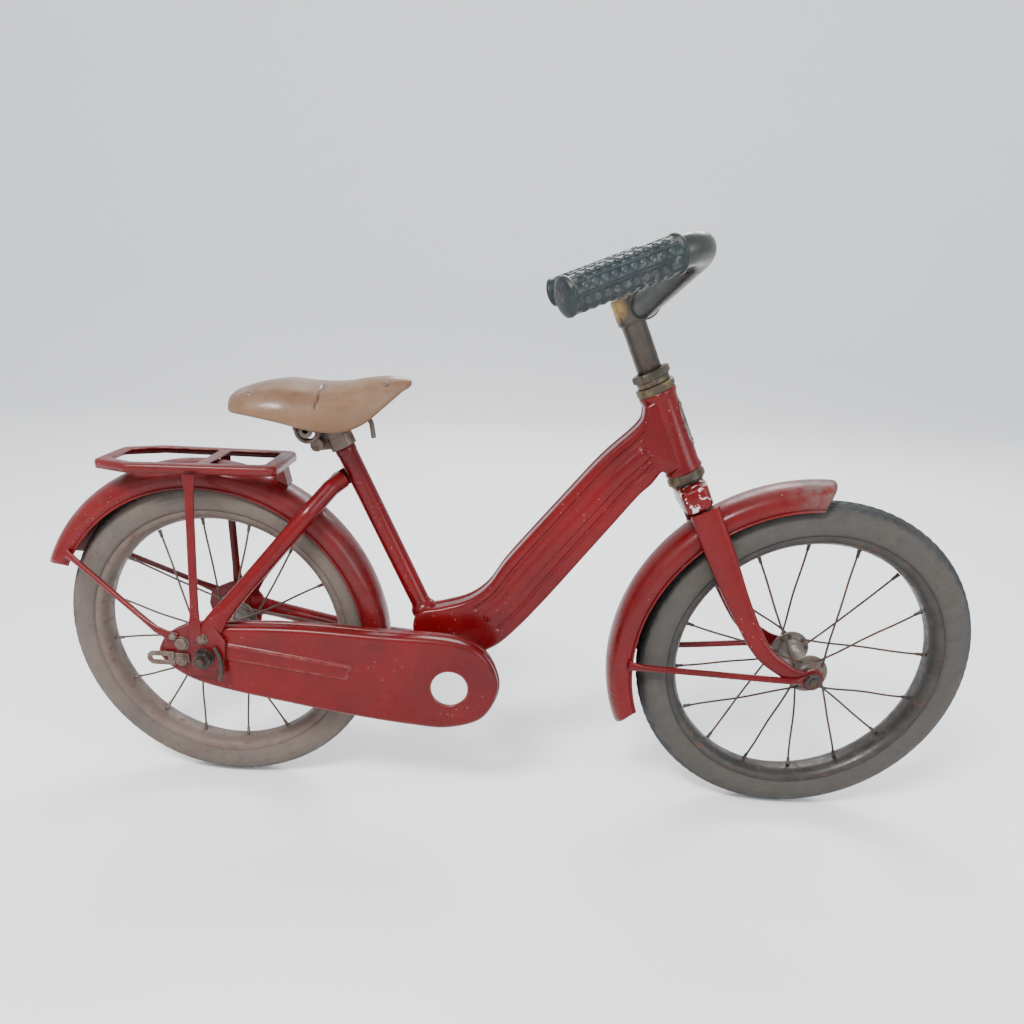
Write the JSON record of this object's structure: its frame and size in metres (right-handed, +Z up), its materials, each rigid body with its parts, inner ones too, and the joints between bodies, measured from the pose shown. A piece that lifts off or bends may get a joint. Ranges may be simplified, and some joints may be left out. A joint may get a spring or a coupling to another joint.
{
  "type": "small child's bicycle",
  "caption": "Small vintage child's bicycle with a pressed step-through frame, chain case, luggage rack, mudguards, spoked wheels and a moulded saddle.",
  "frame": {"origin": "middle of the bounding box in plan, on the ground under the tyres", "axes": "+X is forward, +Y is the rider's left, +Z is up; the handlebar points straight ahead at rest"},
  "size_m": [0.8554, 0.3266, 0.4953],
  "materials": {
    "red_paint": "old gloss enamel, scratched",
    "tyre_rubber": "weathered rubber",
    "rim_steel": "dull plated steel",
    "wire_steel": "dull wire",
    "hub_steel": "worn plating",
    "dark_steel": "oily dark steel",
    "badge_metal": "blank worn plate",
    "rusty_steel": "rusted steel",
    "bar_chrome": "dulled chrome",
    "grip_plastic": "moulded dark plastic",
    "saddle_plastic": "moulded tan plastic"
  },
  "bodies": {
    "frame": {"head_tube": "red_paint", "head_badge": "badge_metal", "lower_cup": "dark_steel", "upper_cup": "dark_steel", "beam_right": "red_paint", "beam_left": "red_paint", "seat_tube": "red_paint", "crank_hanger": "red_paint", "seat_stay_right": "red_paint", "seat_stay_left": "red_paint", "chain_stay_right": "red_paint", "chain_stay_left": "red_paint", "axle_plate_right": "red_paint", "axle_plate_left": "red_paint", "chain_case_outer": "red_paint", "chain_case_inner": "red_paint", "case_bolt": "dark_steel", "rear_axle": "dark_steel", "rear_nuts": "dark_steel", "rear_cones": "dark_steel", "adjuster_tab": "dark_steel", "hook_arm": "dark_steel", "rear_mudguard": "red_paint", "rear_guard_stays": "red_paint", "rack": "red_paint", "rack_tab": "red_paint", "rack_struts": "red_paint"},
    "fork": {"steerer": "dark_steel", "fork_crown": "red_paint", "fork_blade_right": "red_paint", "fork_blade_left": "red_paint", "lower_race": "dark_steel", "upper_cone": "dark_steel", "headset_locknut": "dark_steel", "front_axle": "dark_steel", "front_cones": "dark_steel", "front_nuts": "dark_steel", "front_mudguard": "red_paint", "front_stays": "red_paint"},
    "handlebar": {"handlebar": "bar_chrome", "stem": "rusty_steel", "stem_bolt": "rusty_steel", "grip_left": "grip_plastic", "grip_right": "grip_plastic"},
    "front_wheel": {"front_tyre": "tyre_rubber", "front_rim": "rim_steel", "front_spokes": "wire_steel", "front_hub": "hub_steel"},
    "rear_wheel": {"rear_tyre": "tyre_rubber", "rear_rim": "rim_steel", "rear_spokes": "wire_steel", "rear_hub": "hub_steel"},
    "sprocket": {"sprocket": "hub_steel"},
    "seat_post": {"seat_post": "rusty_steel", "seat_clamp": "rusty_steel", "seat_clamp_bolts": "rusty_steel"},
    "saddle": {"saddle_shell": "saddle_plastic", "saddle_rail": "rusty_steel", "saddle_spring": "rusty_steel"}
  },
  "joints": [
    {"name": "steering", "type": "hinge", "parent": "frame", "child": "fork", "pos_m": [0.14874, 0, 0.32], "axis": [-0.4384, 0, 0.8988], "range_deg": [-70, 70]},
    {"name": "handlebar_height", "type": "slide", "parent": "fork", "child": "handlebar", "axis": [-0.4384, 0, 0.8988], "range_m": [-0.012, 0.03]},
    {"name": "front_wheel_spin", "type": "hinge", "parent": "fork", "child": "front_wheel", "pos_m": [0.27774, 0, 0.15], "axis": [0, 1, 0], "continuous": true},
    {"name": "rear_wheel_spin", "type": "hinge", "parent": "frame", "child": "rear_wheel", "pos_m": [-0.26726, 0, 0.15], "axis": [0, 1, 0], "continuous": true},
    {"name": "sprocket_spin", "type": "hinge", "parent": "frame", "child": "sprocket", "pos_m": [-0.26726, 0, 0.15], "axis": [0, 1, 0], "continuous": true},
    {"name": "saddle_height", "type": "slide", "parent": "frame", "child": "seat_post", "axis": [-0.4352, 0, 0.9003], "range_m": [0, 0.04]},
    {"name": "saddle_tilt", "type": "hinge", "parent": "seat_post", "child": "saddle", "pos_m": [-0.15384, 0, 0.34866], "axis": [0, 1, 0], "range_deg": [-8, 8]}
  ]
}
